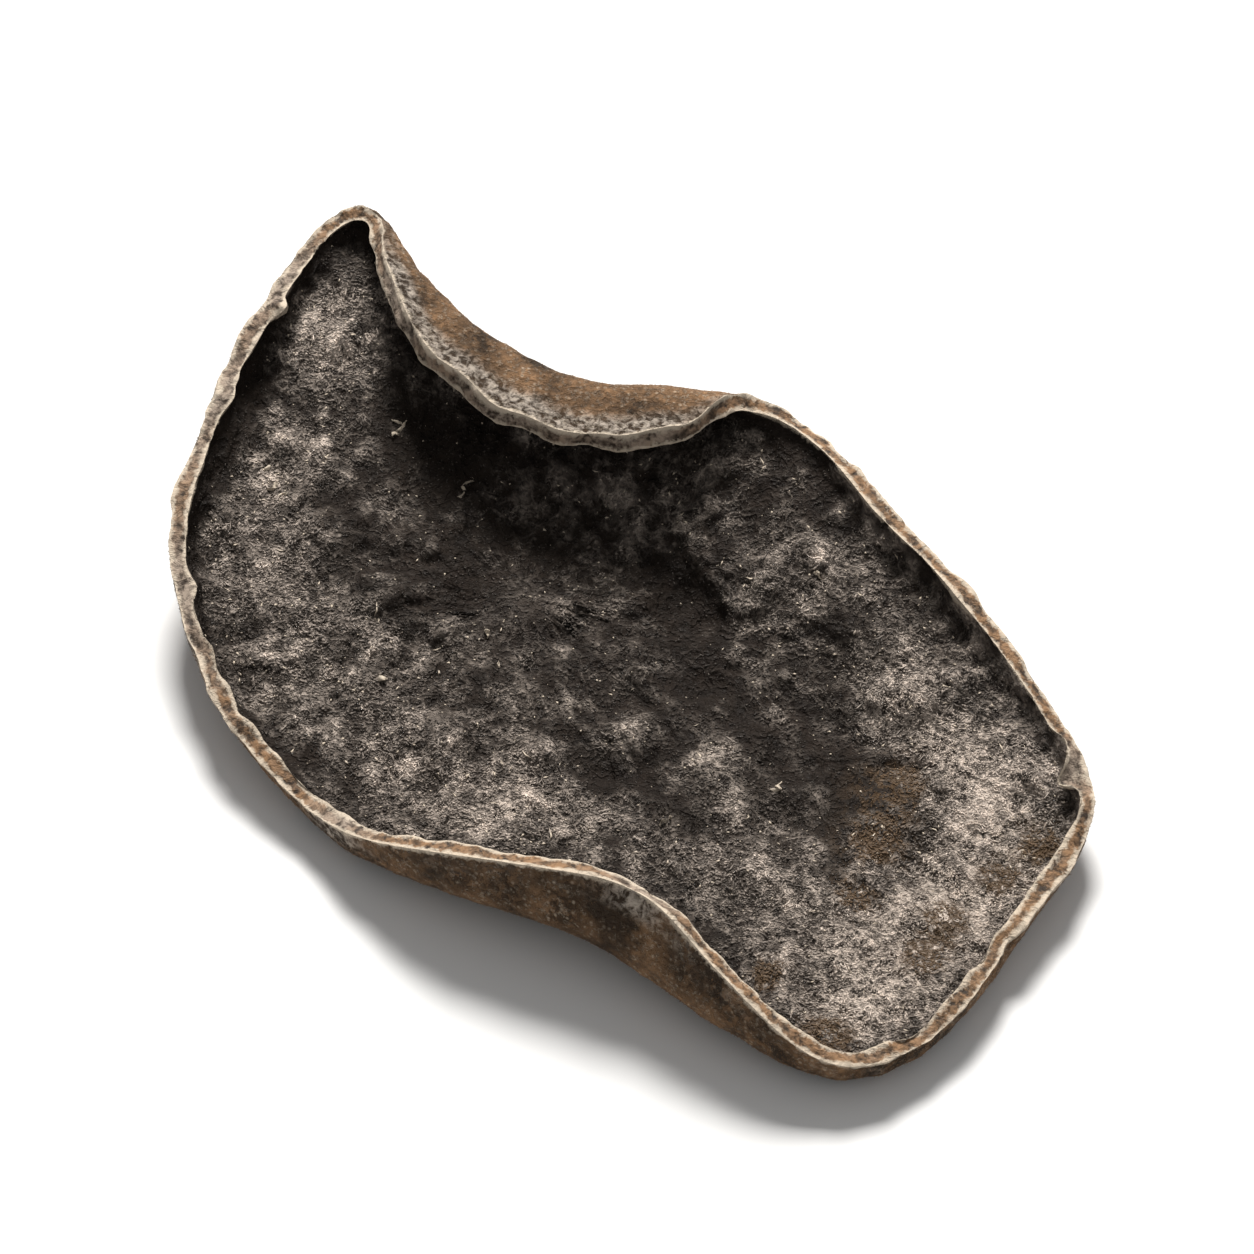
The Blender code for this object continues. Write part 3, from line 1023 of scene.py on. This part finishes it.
def raise_relief(flesh, shape, distance, off_hub, inner, outer, lip):
    """Raise the relief of the dried sheet in the flesh, and mark and fray its rim."""
    mesh = flesh.data
    off_floor = np.clip((points_of(mesh)[:, 2] / MM - 0.1) / 0.6, 0.0, 1.0)
    away = np.clip(distance / (1.6 * MM), 0.0, 1.0) * off_hub
    near = np.clip(1 - distance / (1.0 * MM), 0.0, 1.0) * off_floor
    middle = lip * np.clip(distance / (0.28 * MM), 0.0, 1.0)
    hard = {"noise_type": "HARD_NOISE"}
    mark_rim(mesh, RIM_MARKS)
    swell_beads(mesh, BEADS)
    raise_lumps(mesh, inner * away)
    displace(flesh, "swellings", SWELL_SIZE * MM, shape.swell, inner * away, noise_depth=1)
    smooth_places = points_of(mesh)
    smooth_normals = normals_of(mesh)
    displace(flesh, "wrinkles", shape.wrinkle_size, shape.wrinkle, inner * away, noise_depth=2, **hard)
    displace(flesh, "puckers", PUCKER_SIZE * MM, shape.pucker, outer * away * off_floor, noise_depth=3)
    displace(flesh, "crumples", shape.crumple_size, shape.crumple, inner * away, noise_depth=1, **hard)
    raised = np.einsum("ij,ij->i", points_of(mesh) - smooth_places, smooth_normals)
    write_attribute(mesh, "relief", np.clip(0.5 + raised / (0.5 * MM), 0.0, 1.0))
    displace(flesh, "thickness", UNEVEN_SIZE * MM, shape.uneven, near, noise_depth=1)
    displace(flesh, "fray", FRAY_SIZE * MM, shape.fray, near, noise_depth=2)
    displace(flesh, "groove", None, -shape.groove, middle)


class WOODEAR_OT_flesh(bpy.types.Operator):
    """Make the ear's flesh from the model's solid, with the relief of the dried sheet"""

    bl_idname = "wood_ear.flesh"
    bl_label = "Make flesh"

    def execute(self, context):
        scene = context.scene
        flesh = copy_of_node()
        slots = sort_faces(flesh)
        for slot in (INNER, OUTER, LIP, CUT):
            if not (slots == slot).any():
                raise RuntimeError("a side of the ear has no faces")
        crease_lip(flesh, slots, LIP_CREASE)
        divide(flesh, 2)
        mesh = flesh.data
        split_lip(flesh, lip_distance(mesh), LIP_REACH * MM, LIP_STEP * MM)
        distance = lip_distance(mesh)
        off_hub = np.clip((distance_from_hub(mesh) / MM - 0.6) / 1.8, 0.0, 1.0)
        inner, outer, lip = (points_on(mesh, slot) for slot in (INNER, OUTER, LIP))
        write_looks(mesh, distance, off_hub, inner, outer)
        raise_relief(flesh, scene.wood_ear_shape, distance, off_hub, inner, outer, lip)
        for make in (felt_group, mottle_group, worm_group, fleck_group, dry_edge_and_highlight_group):
            make()
        for make in (inner_material, outer_material, lip_material, cut_material):
            mesh.materials.append(make(scene.wood_ear_finish))
        pick_only(flesh)
        bpy.ops.object.shade_smooth()
        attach(flesh, BODY)
        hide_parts(NODE)
        return {"FINISHED"}


def fibre_shape(tree, length, thickness, bend, lift):
    """A crooked sliver along X with two sharp ends, its middle bent aside and raised."""
    ball = add_node(tree, "GeometryNodeMeshUVSphere", {"Segments": 3, "Rings": 2, "Radius": 1.0}).outputs[0]
    sliver = add_node(tree, "GeometryNodeTransform", {
        "Geometry": ball,
        "Rotation": (0.0, math.pi / 2, 0.0),
        "Scale": (thickness / 2, thickness / 2, length / 2),
    }).outputs[0]
    position = add_node(tree, "GeometryNodeInputPosition").outputs[0]
    along = add_node(tree, "ShaderNodeSeparateXYZ", {0: position})
    off_middle = calculate(tree, "ABSOLUTE", along.outputs["X"])
    return add_node(tree, "GeometryNodeSetPosition", {
        "Geometry": sliver,
        "Selection": calculate(tree, "LESS_THAN", off_middle, length / 4),
        "Offset": (length * 0.1, length * bend, lift),
    }).outputs[0]


def hair_shape(tree, length, thickness):
    """A straight hair that stands on Z and ends in a point."""
    inputs = {
        "Vertices": 3,
        "Side Segments": 1,
        "Radius Top": 0.0,
        "Radius Bottom": thickness / 2,
        "Depth": length,
    }
    return add_node(tree, "GeometryNodeMeshCone", inputs, fill_type="NGON").outputs[0]


def turn_by(tree, rotation, axis, angle):
    """The rotation, turned on by an angle about one of its own axes."""
    turn = add_node(tree, "FunctionNodeAxisAngleToRotation", {"Axis": axis, "Angle": angle}).outputs[0]
    inputs = {"Rotation": rotation, "Rotate By": turn}
    return add_node(tree, "FunctionNodeRotateRotation", inputs, rotation_space="LOCAL").outputs[0]


def random_value(tree, low, high, seed):
    node = add_node(tree, "FunctionNodeRandomValue", {2: low, 3: high, 8: seed}, data_type="FLOAT")
    return node.outputs[1]


def combed(tree, seed, field, spread):
    """An angle that drifts slowly over the surface, so that neighbours lie nearly side by side."""
    place = add_node(tree, "GeometryNodeInputPosition").outputs[0]
    drift = noise(tree, place, field, detail=1.0).outputs["Fac"]
    return plus(tree, times(tree, drift, 6 * math.pi), random_value(tree, -spread, spread, seed))


def grow(flesh, name, cover, count, make_shapes, lean, sizes, spread, material, seed):
    """Scatter small shapes over the flesh, as thick as one of its attributes says, as one mesh."""
    mesh = flesh.data
    piece = bpy.data.objects.new(name, mesh.copy())
    bpy.context.scene.collection.objects.link(piece)
    shares = np.empty(len(mesh.vertices))
    mesh.attributes[cover].data.foreach_get("value", shares)
    areas = np.array([face.area for face in mesh.polygons])
    covered = sum(area * shares[list(face.vertices)].mean() for face, area in zip(mesh.polygons, areas))

    tree = bpy.data.node_groups.new(name, "GeometryNodeTree")
    tree.interface.new_socket("Geometry", in_out="INPUT", socket_type="NodeSocketGeometry")
    tree.interface.new_socket("Geometry", in_out="OUTPUT", socket_type="NodeSocketGeometry")
    given = tree.nodes.new("NodeGroupInput").outputs[0]
    result = tree.nodes.new("NodeGroupOutput").inputs[0]
    share = add_node(tree, "GeometryNodeInputNamedAttribute", {"Name": cover}, data_type="FLOAT")
    density = times(tree, share.outputs["Attribute"], count / covered)
    inputs = {"Mesh": given, "Density": density, "Seed": seed}
    points = add_node(tree, "GeometryNodeDistributePointsOnFaces", inputs)
    joined = tree.nodes.new("GeometryNodeJoinGeometry")
    shapes = make_shapes(tree)
    for shape in shapes:
        single = add_node(tree, "GeometryNodeGeometryToInstance", {0: shape}).outputs[0]
        tree.links.new(single, joined.inputs[0])
    low, high = sizes
    thin = remap(tree, share.outputs["Attribute"], 0.0, 0.45, 0.45, 1.0)
    thick = remap(tree, share.outputs["Attribute"], 0.55, 0.95, 1.0, 0.6)
    size = times(tree, random_value(tree, low, high, seed + 3), times(tree, thin, thick))
    inputs = {"Vector": points.outputs["Normal"]}
    upright = add_node(tree, "FunctionNodeAlignRotationToVector", inputs, axis="Z")
    turned = turn_by(tree, upright.outputs[0], (0.0, 0.0, 1.0), combed(tree, seed + 1, 3.5 * MM, spread))
    leaning = turn_by(tree, turned, (1.0, 0.0, 0.0), random_value(tree, *lean, seed + 2))
    placed = add_node(tree, "GeometryNodeInstanceOnPoints", {
        "Points": points.outputs["Points"],
        "Instance": joined.outputs[0],
        "Pick Instance": True,
        "Rotation": leaning,
        "Scale": size,
    })
    tinted = add_node(tree, "GeometryNodeStoreNamedAttribute", {
        "Geometry": placed.outputs[0],
        "Name": "tint",
        "Value": random_value(tree, 0.0, 1.0, seed + 4),
    }, data_type="FLOAT", domain="INSTANCE")
    real = add_node(tree, "GeometryNodeRealizeInstances", {"Geometry": tinted.outputs[0]})
    smooth = add_node(tree, "GeometryNodeSetShadeSmooth", {"Geometry": real.outputs[0]})
    coated = add_node(tree, "GeometryNodeSetMaterial", {"Geometry": smooth.outputs[0], "Material": material})
    tree.links.new(coated.outputs[0], result)

    scatter = piece.modifiers.new(name, "NODES")
    scatter.node_group = tree
    pick_only(piece)
    bpy.ops.object.modifier_apply(modifier=name)
    piece.vertex_groups.clear()
    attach(piece, BODY)


class WOODEAR_OT_frost(bpy.types.Operator):
    """Lay the pale crooked fibres, the grains and the crumbs of the frost on the inner face"""

    bl_idname = "wood_ear.frost"
    bl_label = "Lay frost"

    def execute(self, context):
        fibres = context.scene.wood_ear_fibres
        finish = context.scene.wood_ear_finish
        colours = (finish.dark, finish.frost, finish.rust, finish.straw)
        material = fibre_material("Frost", finish, "slivers", 0.1, *colours)
        for name, cover, count, length, thickness, seed in (
            ("frost_fibres", "slivers", fibres.frost_count, fibres.frost_length, fibres.frost_thickness, 11),
            ("frost_grains", "slivers", fibres.grain_count, fibres.grain_length, fibres.grain_thickness, 41),
            ("frost_crumbs", "crumbs", fibres.crumb_count, fibres.crumb_length, fibres.crumb_thickness, 71),
        ):
            def shapes(tree):
                return [
                    fibre_shape(tree, length * share, thickness, bend, 0.01 * MM)
                    for share, bend in ((1.5, 0.12), (1.0, -0.16), (0.7, 0.2), (0.45, -0.2))
                ]

            grow(bpy.data.objects["ear_flesh"], name, cover, count, shapes,
                 (-0.15, 0.15), (0.6, 1.6), math.pi, material, seed)
        return {"FINISHED"}


class WOODEAR_OT_flecks(bpy.types.Operator):
    """Lay the few large pale flecks on the inner face"""

    bl_idname = "wood_ear.flecks"
    bl_label = "Lay flecks"

    def execute(self, context):
        finish = context.scene.wood_ear_finish
        mesh = bpy.data.objects["ear_flesh"].data
        places = points_of(mesh)
        normals = normals_of(mesh)
        inner = points_on(mesh, INNER) > 0.5
        material, tree, shader, place = blank_material("Fleck")
        patch = noise(tree, place, 0.0003, detail=3.0).outputs["Fac"]
        dull = [0.55 * part for part in finish.straw]
        colour = blend_colours(tree, remap(tree, patch, 0.3, 0.7), dull, finish.straw)
        set_surface(tree, shader, colour, remap(tree, patch, 0.3, 0.7, 0.6, 0.9))
        raise_bump(tree, shader, patch, 0.00002)
        made = []
        for x, y, length, degrees in FLECKS:
            apart = np.hypot(places[:, 0] - x * MM, places[:, 1] - y * MM)
            nearest = np.where(inner, apart, 1.0).argmin()
            bpy.ops.mesh.primitive_ico_sphere_add(subdivisions=3, radius=1.0)
            fleck = context.active_object
            fleck.scale = (length / 2 * MM, 0.085 * MM, 0.06 * MM)
            upward = Vector(normals[nearest])
            heading = math.radians(degrees)
            aside = upward.cross((math.cos(heading), math.sin(heading), 0.0)).normalized()
            fleck.rotation_euler = Matrix((aside.cross(upward), aside, upward)).transposed().to_euler()
            fleck.location = Vector(places[nearest]) + upward * 0.02 * MM
            made.append(fleck)
        bpy.ops.object.select_all(action="DESELECT")
        for fleck in made:
            fleck.select_set(True)
        context.view_layer.objects.active = made[0]
        bpy.ops.object.join()
        bpy.ops.object.transform_apply(location=True, rotation=True, scale=True)
        piece = context.active_object
        piece.name = "flecks"
        piece.data.materials.append(material)
        everywhere = np.ones(len(piece.data.vertices))
        displace(piece, "crumble", 0.25 * MM, 0.14 * MM, everywhere)
        displace(piece, "crook", 0.45 * MM, 0.9 * MM, everywhere, "RGB_TO_XYZ", cloud_type="COLOR")
        pick_only(piece)
        bpy.ops.object.shade_smooth()
        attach(piece, BODY)
        return {"FINISHED"}


class WOODEAR_OT_nap(bpy.types.Operator):
    """Stand the short leaning hairs of the nap on the outer face"""

    bl_idname = "wood_ear.nap"
    bl_label = "Grow nap"

    def execute(self, context):
        fibres = context.scene.wood_ear_fibres

        def shapes(tree):
            return [hair_shape(tree, fibres.nap_length * share, fibres.nap_thickness) for share in (1.0, 0.7)]

        finish = context.scene.wood_ear_finish
        colours = (finish.umber, finish.tan, finish.umber, finish.tan)
        material = fibre_material("Nap hair", finish, "nap", 0.6, *colours)
        flesh = bpy.data.objects["ear_flesh"]
        grow(flesh, "nap_hairs", "nap", fibres.nap_count, shapes, (0.6, 1.25), (0.6, 1.3), 0.9, material, 23)
        return {"FINISHED"}


class WOODEAR_OT_stage(bpy.types.Operator):
    """Set the plain pale floor, the soft lights and the camera"""

    bl_idname = "wood_ear.stage"
    bl_label = "Set stage"

    def execute(self, context):
        scene = context.scene
        stage = scene.wood_ear_stage
        bpy.ops.object.select_all(action="DESELECT")
        bpy.ops.mesh.primitive_circle_add(vertices=96, radius=1.5, fill_type="NGON")
        floor = context.active_object
        floor.name = "floor"
        material, tree, shader, place = blank_material("Pale floor")
        shader.inputs["Base Color"].default_value = (*stage.floor, 1.0)
        grain = noise(tree, place, 0.004, detail=3.0).outputs["Fac"]
        tree.links.new(remap(tree, grain, 0.0, 1.0, 0.75, 0.85), shader.inputs["Roughness"])
        shader.inputs["Specular IOR Level"].default_value = 0.1
        floor.data.materials.append(material)

        for name, place, size, power, tint in LAMPS:
            bpy.ops.object.light_add(type="AREA", location=place)
            lamp = context.active_object
            lamp.name = name
            lamp.data.shape = "SQUARE"
            lamp.data.size = size
            lamp.data.energy = power
            lamp.data.color = tint
            lamp.rotation_euler = Vector(place).to_track_quat("Z", "Y").to_euler()

        world = bpy.data.worlds.new("Studio")
        world.use_nodes = True
        background = world.node_tree.nodes["Background"]
        background.inputs["Color"].default_value = (1.0, 1.0, 1.0, 1.0)
        background.inputs["Strength"].default_value = WORLD_LIGHT
        scene.world = world
        scene.view_settings.view_transform = "Standard"

        self.add_camera(context, stage)
        return {"FINISHED"}

    def add_camera(self, context, stage):
        up_share = math.sin(stage.elevation)
        level_share = math.cos(stage.elevation)
        places = points_of(frame["nodes"][NODE].data)
        across = places[:, 0]
        upward = places[:, 1] * up_share + places[:, 2] * level_share
        across_middle = (across.min() + across.max()) / 2
        upward_middle = (upward.min() + upward.max()) / 2
        aim = Vector((across_middle, upward_middle * up_share, upward_middle * level_share))
        away = stage.width * LENS / SENSOR
        bpy.ops.object.camera_add(
            location=aim + Vector((0.0, -level_share, up_share)) * away,
            rotation=(math.pi / 2 - stage.elevation, 0.0, 0.0),
        )
        camera = context.active_object
        camera.name = "camera"
        camera.data.lens = LENS
        camera.data.sensor_width = SENSOR
        camera.data.clip_start = 0.01
        camera.data.clip_end = 10.0
        context.scene.camera = camera


class WOODEAR_PT_panel(bpy.types.Panel):
    """Lists the ear's sizes and colours, and the steps that make it"""

    bl_idname = "WOODEAR_PT_panel"
    bl_label = "Dried wood ear"
    bl_space_type = "VIEW_3D"
    bl_region_type = "UI"
    bl_category = "Wood ear"

    def draw(self, context):
        layout = self.layout
        for name in GROUPS:
            values = getattr(context.scene, name)
            column = layout.column()
            for label in values.__annotations__:
                column.prop(values, label)
        for operator in STEPS:
            layout.operator(operator.bl_idname)


GROUPS = {
    "wood_ear_shape": WoodEarShape,
    "wood_ear_fibres": WoodEarFibres,
    "wood_ear_finish": WoodEarFinish,
    "wood_ear_stage": WoodEarStage,
}
STEPS = (WOODEAR_OT_flesh, WOODEAR_OT_frost, WOODEAR_OT_flecks, WOODEAR_OT_nap, WOODEAR_OT_stage)


def register():
    for cls in (*GROUPS.values(), *STEPS, WOODEAR_PT_panel):
        bpy.utils.register_class(cls)
    for name, cls in GROUPS.items():
        setattr(bpy.types.Scene, name, bpy.props.PointerProperty(type=cls))


def unregister():
    for name in GROUPS:
        delattr(bpy.types.Scene, name)
    for cls in (WOODEAR_PT_panel, *reversed(STEPS), *reversed(GROUPS.values())):
        bpy.utils.unregister_class(cls)


def main():
    register()
    bpy.ops.wood_ear.flesh()
    bpy.ops.wood_ear.frost()
    bpy.ops.wood_ear.flecks()
    bpy.ops.wood_ear.nap()
    bpy.ops.wood_ear.stage()


if __name__ == "__main__":
    main()
